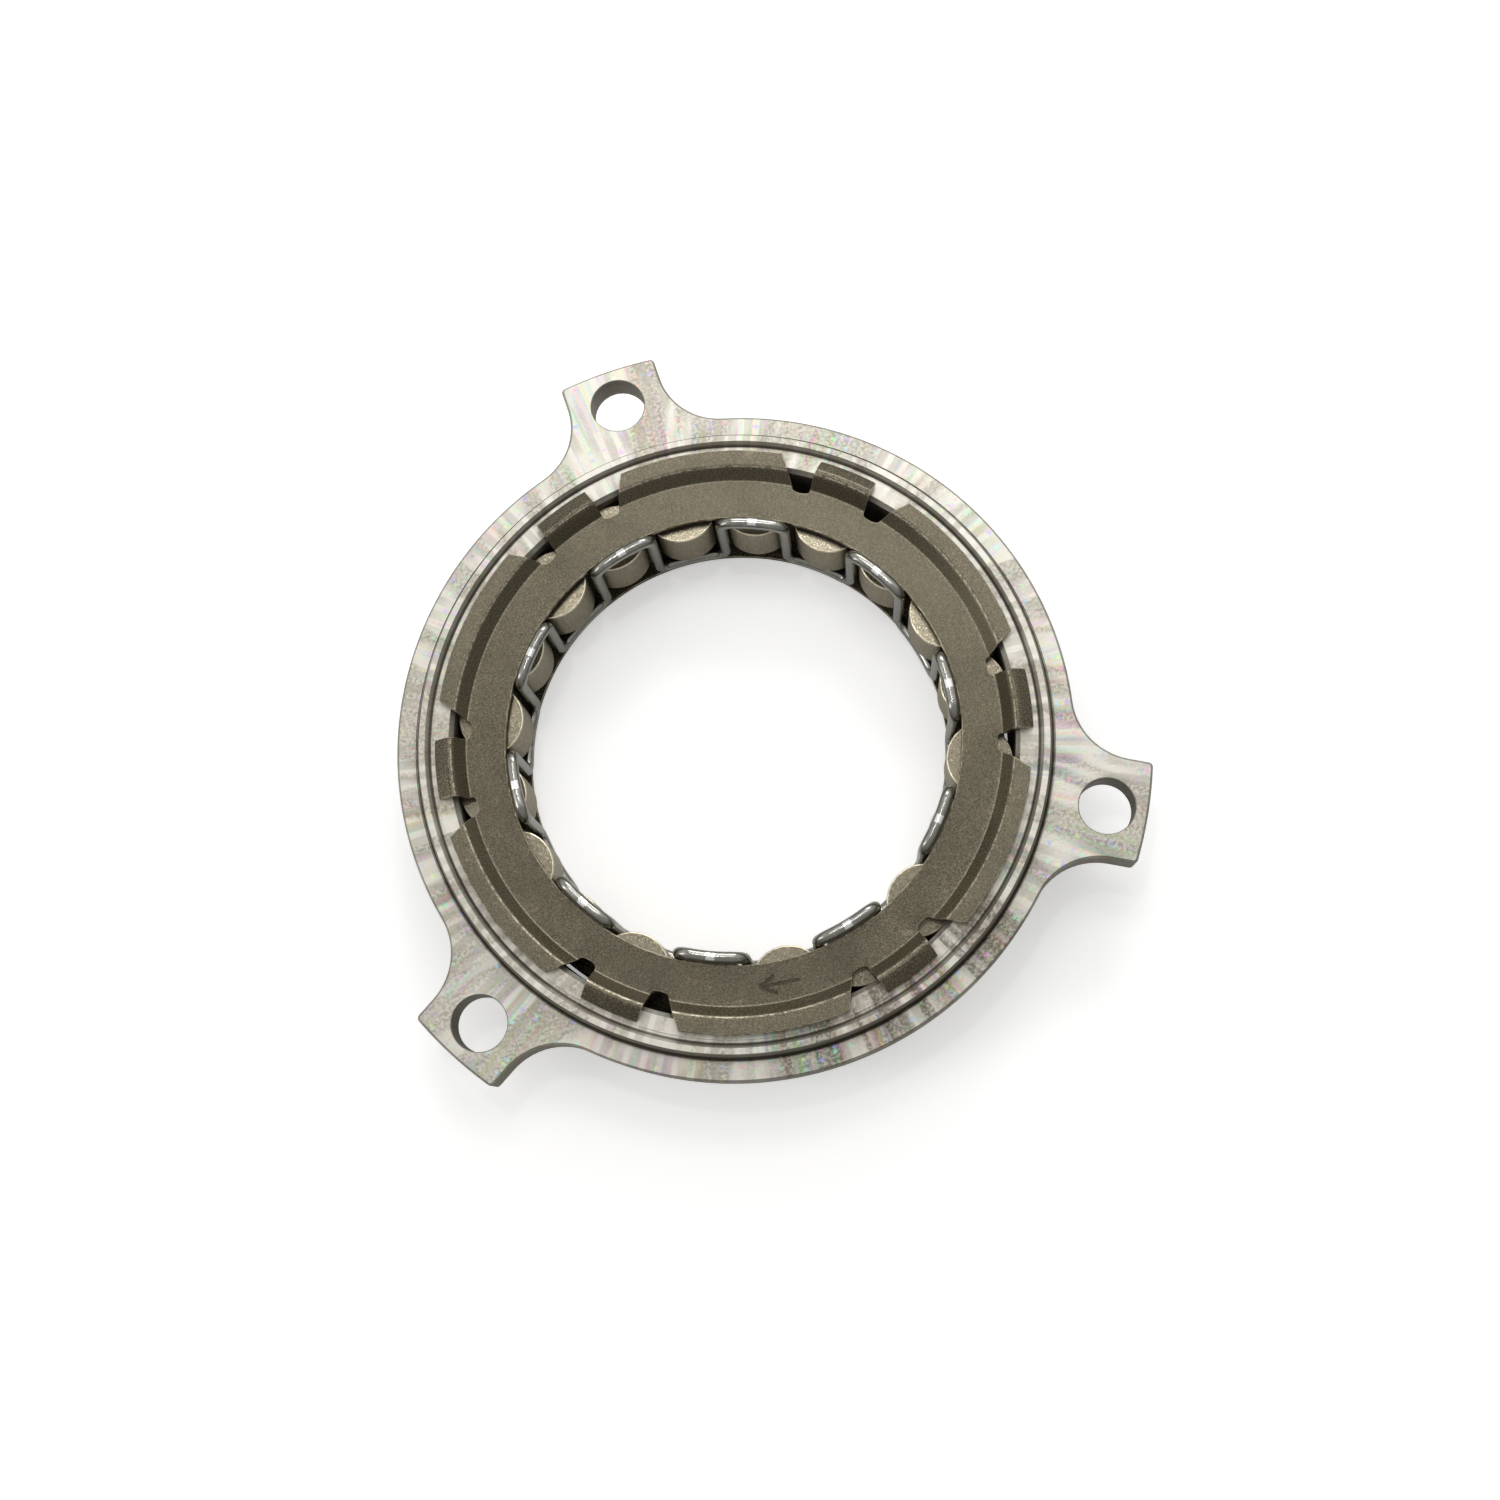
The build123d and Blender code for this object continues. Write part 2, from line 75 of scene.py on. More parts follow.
class Bench:
    """A node tree of a material or a world, and the one way in which nodes are added to it."""

    def __init__(self, owner: bpy.types.Material | bpy.types.World) -> None:
        """Empty the owner's node tree and work in it.

        Args:
            owner: The material or world.
        """
        owner.use_nodes = True
        self.owner = owner
        self.tree = owner.node_tree
        self.tree.nodes.clear()

    @classmethod
    def material(cls, name: str) -> "Bench":
        """Start an empty material of that name."""
        return cls(bpy.data.materials.new(name))

    def add(self, kind: str, inputs: dict | None = None, **settings: object) -> bpy.types.Node:
        """Add a node.

        Args:
            kind: Blender's node type name, without the ShaderNode prefix.
            inputs: Socket (name or index) to the link that feeds it, or to a number, vector or hex colour.
            settings: Properties of the node itself.

        Returns:
            The new node.
        """
        node = self.tree.nodes.new("ShaderNode" + kind)
        for key, value in settings.items():
            setattr(node, key, value)
        for key, value in (inputs or {}).items():
            if isinstance(value, tuple) and isinstance(value[0], bpy.types.Node):
                self.tree.links.new(value[0].outputs[value[1]], node.inputs[key])
            else:
                node.inputs[key].default_value = linear(value) if isinstance(value, str) else value
        return node

    def math(self, operation: str, a: Link | float, b: Link | float = 0.0) -> Link:
        """Return what an operation of the Math node makes of two values."""
        return (self.add("Math", {0: a, 1: b}, operation=operation), "Value")

    def plus(self, *terms: Link | float) -> Link:
        """Add up all the terms."""
        return reduce(lambda total, term: self.math("ADD", total, term), terms)

    def times(self, *factors: Link | float) -> Link:
        """Multiply all the factors."""
        return reduce(lambda product, factor: self.math("MULTIPLY", product, factor), factors)

    def distance(self, a: Link, b: Link | float) -> Link:
        """Return how far two values lie apart."""
        return self.math("ABSOLUTE", self.math("SUBTRACT", a, b))

    def blend(self, factor: Link | float, a: Link | str, b: Link | str, mode: str = "MIX") -> Link:
        """Return the first colour with as much of the second one as the factor says."""
        return (self.add("Mix", {"Factor": factor, 6: a, 7: b}, data_type="RGBA", blend_type=mode), 2)

    def place(self) -> Link:
        """Return the surface point in the row frame, in millimetres."""
        source = (self.add("TexCoord"), "Object")
        return (self.add("VectorMath", {0: source, "Scale": 1.0 / MM}, operation="SCALE"), "Vector")

    def up(self) -> Link:
        """Return how far the surface faces up, from -1 to 1."""
        return (self.add("SeparateXYZ", {0: (self.add("TexCoord"), "Normal")}), "Z")

    def round_place(self) -> tuple[Link, Link, Link]:
        """Find the surface point in terms of the clutch axis.

        Returns:
            Radius in millimetres, angle in turns from -0.5 to 0.5, and height in millimetres.
        """
        parts = self.add("SeparateXYZ", {0: self.place()})
        x, y, z = (parts, "X"), (parts, "Y"), (parts, "Z")
        angle = self.math("DIVIDE", self.math("ARCTAN2", y, x), 2 * math.pi)
        return self.math("SQRT", self.plus(self.times(x, x), self.times(y, y))), angle, z

    def noise(self, size_mm: float, at: Link | None = None, detail: float = 2.0, rough: float = 0.5) -> Link:
        """Return a noise with grains of about that size, read at the surface point or at another place."""
        inputs = {"Vector": at or self.place(), "Scale": 1.0 / size_mm, "Detail": detail, "Roughness": rough}
        return (self.add("TexNoise", inputs), "Fac")

    def streaks(self, x: Link, y: Link, detail: float = 2.0, rough: float = 0.5) -> Link:
        """Return a noise over two chosen coordinates, with grains of about 1 in both."""
        at = self.add("CombineXYZ", {"X": x, "Y": y})
        return self.noise(1.0, (at, "Vector"), detail, rough)

    def pastel(self, cells: bpy.types.Node, saturation: float, value: float) -> tuple[Link, Link]:
        """Give each cell of a Voronoi node a hue of its own.

        Args:
            cells: The Voronoi node.
            saturation: Saturation of every hue.
            value: Brightness of every hue.

        Returns:
            The links to the colour and to a second chance value from 0 to 1.
        """
        chance = self.add("SeparateColor", {"Color": (cells, "Color")})
        inputs = {"Red": (chance, "Red"), "Green": saturation, "Blue": value}
        tint = self.add("CombineColor", inputs, mode="HSV")
        return (tint, "Color"), (chance, "Green")

    def step(self, value: Link, low: float, high: float, out_low: float = 0.0, out_high: float = 1.0) -> Link:
        """Map a value smoothly, so that low and all beyond it give out_low, and high gives out_high."""
        inputs = {"Value": value, "From Min": low, "From Max": high, "To Min": out_low, "To Max": out_high}
        return (self.add("MapRange", inputs, interpolation_type="SMOOTHSTEP"), "Result")

    def between(self, value: Link, rise: float, full: float, fade: float, gone: float) -> Link:
        """Mask that rises from rise to full, and falls again from fade to gone."""
        return self.times(self.step(value, rise, full), self.step(value, gone, fade))

    def bump(self, height: Link, depth_mm: float, strength: float = 1.0, after: Link | None = None) -> Link:
        """Return the normal of a relief of that real depth, laid over the normal of an earlier one."""
        inputs = {"Height": height, "Distance": depth_mm * MM, "Strength": strength}
        return (self.add("Bump", inputs | ({"Normal": after} if after else {})), "Normal")

    def finish(self, inputs: dict) -> bpy.types.Material:
        """Close the material with a Principled shader that has those inputs, and return it."""
        self.add("OutputMaterial", {"Surface": (self.add("BsdfPrincipled", inputs), "BSDF")})
        return self.owner


# Finishes


@dataclass(frozen=True)
class GroundSteel:
    """Bearing steel, turned and face ground.

    The wheel leaves radial blocks of lighter and duller grain, and in columns between them the grain
    splits the light into pastel flecks, painted in as glints. Old oil and painted shade darken the collar's
    foot and the pocket's wall brown.
    """

    bright: str = "#e7e4da"
    dull: str = "#d0ccc0"
    deep: str = "#9c9688"
    coarse: str = "#6d6555"
    shade: str = "#757166"
    oil_and_shade_brown: str = "#3f3220"
    roughness: float = 0.56
    dull_extra: float = 0.08
    oil_and_shade_rough: float = 0.3
    grain_mm: float = 0.42
    dust_mm: float = 0.16
    wash_mm: float = 7.0
    fade_mm: float = 9.0
    cluster_mm: float = 6.0
    blocks_per_turn: float = 52.0
    columns_per_turn: float = 130.0
    coarse_per_turn: float = 84.0
    coarse_turn: float = -0.21
    coarse_reach: float = 0.075
    coarse_soft: float = 0.025
    fleck_mm: float = 0.6
    rings_per_mm: float = 3.3
    bands_per_mm: float = 6.0
    ring_bump_mm: float = 0.003
    grain_bump_mm: float = 0.05
    foot: tuple[float, ...] = (40.05, 40.2, 40.35, 40.52)
    wall: tuple[float, ...] = (38.2, 38.35, 38.5, 38.7)

    def build(self) -> bpy.types.Material:
        """Build the material.

        Returns:
            The material.
        """
        b = Bench.material("ground_bearing_steel")
        radius, turn, height = b.round_place()
        # Blocks along the angle, sheared a little by the radius
        along = b.plus(b.times(turn, self.blocks_per_turn), b.times(radius, 0.04))
        blocks = b.step(b.streaks(along, b.times(radius, 0.03), rough=0.7), 0.44, 0.56)
        # Fine columns, evenly spaced by the wheel's feed
        wave = b.math("SINE", b.times(turn, self.columns_per_turn * 2 * math.pi))
        columns = b.step(wave, -0.3, 0.7)
        grain = b.noise(self.grain_mm, detail=3.0, rough=0.65)
        grains = b.step(grain, 0.42, 0.6)
        mix = b.times(blocks, b.plus(0.65, b.times(grains, 0.35)))
        face = b.blend(mix, self.bright, self.dull)
        face = b.blend(b.times(blocks, grains, b.plus(0.25, b.times(columns, 0.3))), face, self.deep)
        fade = b.step(b.noise(self.fade_mm), 0.4, 0.6, 0.03, 0.38)
        face = b.blend(b.times(b.math("SUBTRACT", 1.0, columns), fade), face, self.deep)
        # One stretch is ground coarser, in wider and darker columns
        reach, soft = self.coarse_reach, self.coarse_soft
        zone = b.step(b.distance(turn, self.coarse_turn), reach + soft, reach - soft)
        where = {"W": b.times(turn, self.coarse_per_turn), "Scale": 1.0, "Detail": 1.0}
        wide = b.add("TexNoise", where, noise_dimensions="1D")
        wide = b.step((wide, "Fac"), 0.46, 0.54, 0.1, 0.75)
        coarse = b.times(zone, wide, b.step(grain, 0.4, 0.56, 0.45, 1.0))
        face = b.blend(coarse, face, self.coarse)
        # Painted glints: some columns take one pastel hue along their whole length
        where = {"W": b.times(turn, self.columns_per_turn), "Randomness": 0.3}
        own = b.add("TexVoronoi", where, voronoi_dimensions="1D")
        wash, chance = b.pastel(own, 0.26, 1.0)
        washed = b.times(b.step(b.noise(self.wash_mm, detail=1.0), 0.42, 0.6), b.step(chance, 0.2, 0.6))
        washed = b.times(washed, b.plus(0.6, b.times(zone, 0.4)))
        face = b.blend(washed, face, wash, "MULTIPLY")
        # Painted glints: pastel flecks in the columns, thickest on the ground face
        x, y = b.times(turn, self.columns_per_turn * 2), b.math("DIVIDE", radius, self.fleck_mm)
        at = (b.add("CombineXYZ", {"X": x, "Y": y}), "Vector")
        cell = b.add("TexVoronoi", {"Vector": at, "Scale": 1.0, "Randomness": 0.7})
        tint, chance = b.pastel(cell, 0.5, 0.95)
        flecks = b.times(
            b.step(b.noise(self.cluster_mm), 0.4, 0.52),
            b.step((cell, "Distance"), 0.62, 0.2),
            b.step(b.noise(self.dust_mm, detail=1.0), 0.4, 0.55, 0.25, 1.0),
            b.step(chance, 0.3, 0.5),
            b.plus(0.35, b.times(columns, 0.65)),
            b.plus(0.2, b.times(b.step(height, 0.1, 0.0), 0.65)),
        )
        face = b.blend(flecks, face, tint)
        # Upright walls take a darker colour by facing direction, a painted shade, with turned bands that are
        # duller than the ground faces
        bands = b.streaks(b.times(height, self.bands_per_mm), b.times(turn, 9.0), detail=3.0, rough=0.6)
        side = b.blend(b.step(bands, 0.3, 0.7, 0.0, 0.3), self.shade, self.dull)
        colour = b.blend(b.step(b.up(), 0.55, 0.95), side, face)
        # Old oil and painted shade, dark brown, in the groove at the collar's foot and along the pocket's
        # wall
        foot = b.times(b.between(radius, *self.foot), 0.8)
        wall = b.times(b.between(radius, *self.wall), 0.6)
        oil_and_shade = b.times(b.math("MAXIMUM", foot, wall), b.step(height, -0.6, -0.45))
        colour = b.blend(oil_and_shade, colour, self.oil_and_shade_brown)
        rough = b.plus(self.roughness, b.times(mix, self.dull_extra), b.times(oil_and_shade, self.oil_and_shade_rough))
        # Turned rings, and over them the grain
        at = b.add("CombineXYZ", {"X": b.plus(radius, height), "Y": b.times(turn, 3.0)})
        marks = b.noise(1.0 / self.rings_per_mm, (at, "Vector"))
        normal = b.bump(marks, self.ring_bump_mm)
        normal = b.bump(grain, self.grain_bump_mm, after=normal)
        return b.finish({"Base Color": colour, "Roughness": rough, "Normal": normal, "Metallic": 1.0})


@dataclass(frozen=True)
class PhosphatedSheet:
    """Stamped sheet steel, case hardened and phosphated.

    The coat is a dull khaki grey, peppered with fine crystals. Painted shade darkens it on the steep
    sides of the tabs, and a painted highlight lightens it along the crease and the tabs' crests.
    """

    coat: str = "#696250"
    dark: str = "#484335"
    light: str = "#b0a790"
    # Colour of the painted shade on the tabs' steep sides
    drawn: str = "#625b48"
    scuff_and_highlight: str = "#cdc3ae"
    stamped: str = "#2f2a20"
    roughness: float = 0.26
    crystal_mm: float = 0.19
    mottle_mm: float = 0.8
    cloud_mm: float = 8.0
    streak_mm: float = 0.5
    scuff_field_mm: float = 5.0
    crystal_bump_mm: float = 0.032
    stamp_mm: float = 0.12
    crease_r: float = 33.9
    crest_r: float = 35.0
    arrow_angle: float = -98.0
    arrow_r: float = 31.6
    arrow_length: float = 5.0
    arrow_head: float = 2.1
    arrow_line: float = 0.15
    arrow_slope: float = 0.55

    def arrow(self, b: Bench, top: Link) -> Link:
        """Return the mask of the plain arrow that shows which way the inner race runs free.

        Args:
            b: The material's bench.
            top: Mask of the flange's top.

        Returns:
            The mask, 1 inside the stamped strokes of the flange's top.
        """
        middle = on_circle(self.arrow_r, self.arrow_angle)
        local = b.add("VectorMath", {0: b.place(), 1: middle}, operation="SUBTRACT")
        inputs = {"Vector": (local, "Vector"), "Angle": math.radians(90.0 - self.arrow_angle)}
        local = b.add("VectorRotate", inputs, rotation_type="Z_AXIS")
        parts = b.add("SeparateXYZ", {0: (local, "Vector")})
        along = b.math("SUBTRACT", self.arrow_length / 2, (parts, "X"))
        aside = b.math("ABSOLUTE", (parts, "Y"))
        line, soft = self.arrow_line, 0.1
        shaft = b.step(aside, line + 0.07, line)
        shaft = b.times(shaft, b.between(along, 0.0, soft, self.arrow_length - soft, self.arrow_length))
        head = b.step(b.distance(aside, b.times(along, self.arrow_slope)), line * 1.15 + 0.08, line * 1.15)
        head = b.times(head, b.between(along, -0.05, 0.0, self.arrow_head - soft, self.arrow_head))
        return b.times(b.math("MAXIMUM", shaft, head), top)

    def build(self) -> bpy.types.Material:
        """Build the material.

        Returns:
            The material.
        """
        b = Bench.material("phosphated_sheet_steel")
        radius, _, height = b.round_place()
        crystals = b.noise(self.crystal_mm, rough=0.7)
        mottle = b.noise(self.mottle_mm, rough=0.6)
        cloud = b.noise(self.cloud_mm, detail=3.0)
        colour = b.blend(b.step(crystals, 0.34, 0.6), self.dark, self.coat)
        colour = b.blend(b.step(mottle, 0.5, 0.7, 0.0, 0.15), colour, self.dark)
        colour = b.blend(b.step(crystals, 0.6, 0.72, 0.0, 0.7), colour, self.light)
        # Light scuffs in short parallel lines, where parts rubbed on each other in the bin
        inputs = {"Vector": b.place(), "Rotation": (0.0, 0.0, 0.3), "Scale": (0.35, 6.0, 1.0)}
        place = b.add("Mapping", inputs)
        lines = b.noise(1.0, (place, "Vector"), detail=1.0)
        field = b.noise(self.scuff_field_mm)
        scuff = b.times(b.step(lines, 0.56, 0.62), b.step(field, 0.6, 0.7), 0.3)
        colour = b.blend(scuff, colour, self.scuff_and_highlight)
        colour = b.blend(b.step(cloud, 0.4, 0.7, 0.0, 0.3), colour, self.dark)
        # Painted shade: darker where the surface turns away from straight up, on the tabs' steep sides
        colour = b.blend(b.step(b.up(), 0.93, 0.6, 0.0, 0.85), colour, self.drawn)
        # A painted highlight runs as a light line along the crease on the flange's top
        top = b.step(height, 0.9, 0.97)
        r = self.crease_r
        line = b.times(b.between(radius, r - 0.24, r - 0.12, r - 0.04, r + 0.05), top)
        # A painted highlight along the crest of each tab, broken into streaks
        r = self.crest_r
        crest = b.times(
            b.between(b.up(), 0.84, 0.89, 0.93, 0.97),
            b.between(radius, r - 0.3, r, r + 0.6, r + 0.9),
            b.step(b.noise(self.streak_mm, detail=3.0), 0.42, 0.56, 0.15, 1.0),
        )
        colour = b.blend(b.plus(b.times(line, 0.18), b.times(crest, 0.65)), colour, self.scuff_and_highlight)
        mark = self.arrow(b, top)
        colour = b.blend(b.times(mark, 0.75), colour, self.stamped)
        rough = b.step(crystals, 0.3, 0.7, self.roughness - 0.06, self.roughness + 0.1)
        normal = b.bump(crystals, self.crystal_bump_mm, 0.8)
        normal = b.bump(b.math("SUBTRACT", 1.0, mark), self.stamp_mm, after=normal)
        return b.finish({"Base Color": colour, "Roughness": rough, "Normal": normal, "Metallic": 0.6})


@dataclass(frozen=True)
class DrawnWire:
    """Patented and drawn spring wire, smooth, with a grey drawing film that keeps a sharp gloss."""

    film: str = "#9b9a94"
    worn: str = "#c6c5be"
    # Colour of the painted highlight spot on each top bar
    polished: str = "#fbfbf8"
    roughness: float = 0.2
    wear_mm: float = 0.9
    dust_mm: float = 0.14
    bars: int = 10
    first_bar: float = 102.0
    spot_mm: float = 1.1
    spot_soft: float = 0.08
    spot_z: float = 2.08

    def build(self) -> bpy.types.Material:
        """Build the material.

        Returns:
            The material.
        """
        b = Bench.material("drawn_spring_wire")
        wear = b.noise(self.wear_mm, detail=3.0)
        colour = b.blend(b.step(wear, 0.5, 0.8, 0.0, 0.5), self.film, self.worn)
        # Painted highlight: a bright spot in the middle of each top bar
        radius, turn, height = b.round_place()
        shift = self.bars - self.first_bar * self.bars / 360.0 + 0.5
        phase = b.math("FRACT", b.plus(b.times(turn, self.bars), shift))
        aside = b.times(b.distance(phase, 0.5), b.times(radius, 2 * math.pi / self.bars))
        half = self.spot_mm / 2
        painted_highlight_spot = b.step(aside, half + self.spot_soft, half - self.spot_soft)
        painted_highlight_spot = b.times(painted_highlight_spot, b.step(height, self.spot_z, self.spot_z + 0.1))
        colour = b.blend(painted_highlight_spot, colour, self.polished)
        rough = b.step(wear, 0.3, 0.7, self.roughness - 0.03, self.roughness + 0.07)
        normal = b.bump(b.noise(self.dust_mm, detail=1.0), 0.0012)
        return b.finish({"Base Color": colour, "Roughness": rough, "Normal": normal, "Metallic": 0.95})


@dataclass(frozen=True)
class Layer:
    """A colour that shows through where a noise passes a threshold.

    The fields are the colour, the size of the noise's grains in mm, the threshold's start and end,
    how much of the colour shows at most, and the noise's detail, roughness and squeeze along Z.
    """

    colour: str
    grain_mm: float
    start: float
    end: float
    most: float = 1.0
    detail: float = 2.0
    rough: float = 0.5
    squeeze: float = 1.0


@dataclass(frozen=True)
class LayeredSteel:
    """Plain steel: a base colour, layers over it, and a relief that follows the first layer's noise."""

    name: str
    base: str
    layers: tuple[Layer, ...]
    metallic: float
    roughness: float
    relief_mm: float = 0.0

    def build(self) -> bpy.types.Material:
        """Build the material.

        Returns:
            The material.
        """
        b = Bench.material(self.name)
        colour: Link | str = self.base
        grains = []
        for layer in self.layers:
            at = b.add("VectorMath", {0: b.place(), 1: (1.0, 1.0, layer.squeeze)}, operation="MULTIPLY")
            grains.append(b.noise(layer.grain_mm, (at, "Vector"), layer.detail, layer.rough))
            shown = b.step(grains[-1], layer.start, layer.end, 0.0, layer.most)
            colour = b.blend(shown, colour, layer.colour)
        inputs = {"Base Color": colour, "Metallic": self.metallic, "Roughness": self.roughness}
        if self.relief_mm:
            inputs["Normal"] = b.bump(grains[0], self.relief_mm)
        return b.finish(inputs)


# Cut edge of the sheet, burnished bare by the punch; its light colour is also a painted highlight along the
# sheet's edges
SHEARED_EDGE = LayeredSteel(
    "sheared_sheet_edge",
    "#b5ab96",
    (Layer("#7a715c", 0.8, 0.4, 0.62, detail=3.0),),
    metallic=0.9,
    roughness=0.3,
)
# End face of a sprag: hardened steel, barrel tumbled to a pale, warm and sparkling grain
TUMBLED_STEEL = LayeredSteel(
    "tumbled_steel_ends",
    "#716a59",
    (Layer("#978f7c", 0.22, 0.36, 0.56, rough=0.6), Layer("#d6cdb8", 0.22, 0.6, 0.7, rough=0.6)),
    metallic=0.9,
    roughness=0.27,
    relief_mm=0.008,
)
# Cam flank of a sprag: drawn, hardened and honed, a duller olive grey with fine upright lines
HONED_STEEL = LayeredSteel(
    "honed_steel_flanks",
    "#8f8770",
    (
        Layer("#a89f88", 0.12, 0.35, 0.65, detail=1.0, squeeze=0.08),
        Layer("#8f8770", 1.6, 0.4, 0.65, 0.35),
    ),
    metallic=0.8,
    roughness=0.42,
    relief_mm=0.002,
)
# Rounded edge of a sprag, worn bright by tumbling; its near-white colour is also a painted highlight
POLISHED_EDGE = LayeredSteel(
    "polished_sprag_edge",
    "#f5ebd0",
    (Layer("#9c917a", 0.6, 0.4, 0.7, 0.4),),
    metallic=0.95,
    roughness=0.3,
)


@dataclass(frozen=True)
class PaleTable:
    """Matt white table top that reads as white and keeps a soft shadow."""

    paint: str = "#f4f4f3"
    glow: float = 0.4

    def build(self) -> bpy.types.Material:
        """Build the material.

        Returns:
            The material.
        """
        b = Bench.material("pale_table")
        matt = b.add("BsdfDiffuse", {"Color": self.paint})
        lift = b.add("Emission", {"Color": "#ffffff", "Strength": self.glow})
        lifted = b.add("AddShader", {0: (matt, "BSDF"), 1: (lift, "Emission")})
        path = b.add("LightPath")
        both = b.add("MixShader", {"Fac": (path, "Is Camera Ray"), 1: (matt, "BSDF"), 2: (lifted, "Shader")})
        b.add("OutputMaterial", {"Surface": (both, "Shader")})
        return b.owner


# Shape helpers


def on_circle(radius: float, degrees: float, z: float = 0.0) -> Vector:
    """Point on a circle round the clutch axis, in millimetres."""
    a = math.radians(degrees)
    return Vector((radius * math.cos(a), radius * math.sin(a), z))


def beside(point: Point2, degrees: float, z: float) -> Vector:
    """Turn a point drawn beside the +Y axis so that +Y points along the angle, and give it a height."""
    turned = complex(*point) * cmath.rect(1.0, math.radians(degrees - 90.0))
    return Vector((turned.real, turned.imag, z))


def arc(centre: Point2, radius: float, start: float, end: float, steps: int) -> list[Point2]:
    """Points of an arc in that many chords from one angle in radians to another, both ends included."""
    angles = [start + (end - start) * i / steps for i in range(steps + 1)]
    return [(centre[0] + radius * math.cos(a), centre[1] + radius * math.sin(a)) for a in angles]


def arc_through(a: Point2, b: Point2, sag: float, steps: int) -> list[Point2]:
    """Points of a shallow arc between two points.

    Args:
        a: First point.
        b: Last point.
        sag: How far the middle lies to the left of the line from a to b.
        steps: Number of chords.

    Returns:
        The points in order, both ends included.
    """
    ax, ay = a
    bx, by = b
    length = math.hypot(bx - ax, by - ay)
    nx, ny = -(by - ay) / length, (bx - ax) / length
    points = []
    for i in range(steps + 1):
        t = i / steps
        off = 4.0 * sag * t * (1.0 - t)
        points.append((ax + (bx - ax) * t + nx * off, ay + (by - ay) * t + ny * off))
    return points


class Shell:
    """Collects points and faces in millimetres and turns them into a piece of the clutch."""

    def __init__(self) -> None:
        """Start an empty mesh."""
        self.bm = bmesh.new()

    def points(self, places: Iterable[Vector]) -> list[bmesh.types.BMVert]:
        """Add points and return them."""
        return [self.bm.verts.new(p) for p in places]

    def ring(self, radius: float, z: float, count: int) -> list[bmesh.types.BMVert]:
        """Add the points of one level circle round the clutch axis and return them."""
        return self.points(on_circle(radius, 360.0 * i / count, z) for i in range(count))

    def face(self, corners: Row, material: int = 0) -> None:
        """Add one face with a material index."""
        self.bm.faces.new(corners).material_index = material

    def band(self, lower: Row, upper: Row, closed: bool = True, material: int = 0) -> None:
        """Join two rows of points with quads.

        Args:
            lower: First row.
            upper: Second row, of the same length.
            closed: Whether the rows run all the way round.
            material: Material index of the faces.
        """
        count = len(lower)
        for i in range(count if closed else count - 1):
            j = (i + 1) % count
            self.face((lower[i], lower[j], upper[j], upper[i]), material)

    def skin(self, rows: Sequence[Row], closed: bool = True) -> None:
        """Join each row of points to the next one with quads."""
        for row, following in zip(rows, rows[1:]):
            self.band(row, following, closed)

    def fill(self, *loops: Row) -> None:
        """Fill the flat region between closed loops.

        Args:
            loops: The outline and any holes in it.
        """
        edges = []
        for loop in loops:
            for i, vert in enumerate(loop):
                after = loop[(i + 1) % len(loop)]
                edges.append(self.bm.edges.get((vert, after)) or self.bm.edges.new((vert, after)))
        bmesh.ops.triangle_fill(self.bm, use_beauty=True, use_dissolve=False, edges=edges)

    def piece(
        self,
        name: str,
        body: str,
        materials: Sequence[bpy.types.Material],
        edge_mm: float = 0.0,
        edge_material: int = -1,
    ) -> bpy.types.Object:
        """Make the object, dress it, round its edges and let it stand for its CAD node.

        Args:
            name: Name of the CAD node that the piece replaces.
            body: CAD body that it rides on.
            materials: The piece's materials, by index.
            edge_mm: Width of the rounding of its sharp edges.
            edge_material: Material index of the rounding.

        Returns:
            The finished object.
        """
        bmesh.ops.recalc_face_normals(self.bm, faces=self.bm.faces)
        bmesh.ops.scale(self.bm, vec=(MM, MM, MM), verts=self.bm.verts)
        mesh = bpy.data.meshes.new(name + "_dressed")
        self.bm.to_mesh(mesh)
        self.bm.free()
        for item in materials:
            mesh.materials.append(item)
        for polygon in mesh.polygons:
            polygon.use_smooth = True
        mesh.set_sharp_from_angle(angle=math.radians(SHARP_DEGREES))
        thing = bpy.data.objects.new(name + "_dressed", mesh)
        bpy.context.scene.collection.objects.link(thing)
        if edge_mm > 0.0:
            rounding = thing.modifiers.new("edge_rounding", "BEVEL")
            rounding.width = edge_mm * MM
            rounding.segments = 2
            rounding.limit_method = "ANGLE"
            rounding.angle_limit = math.radians(SHARP_DEGREES)
            rounding.harden_normals = True
            rounding.material = edge_material
        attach(thing, body)
        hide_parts(name)
        log.info("%s: %d faces, rides on %s", thing.name, len(mesh.polygons), body)
        return thing


# Sub-assemblies


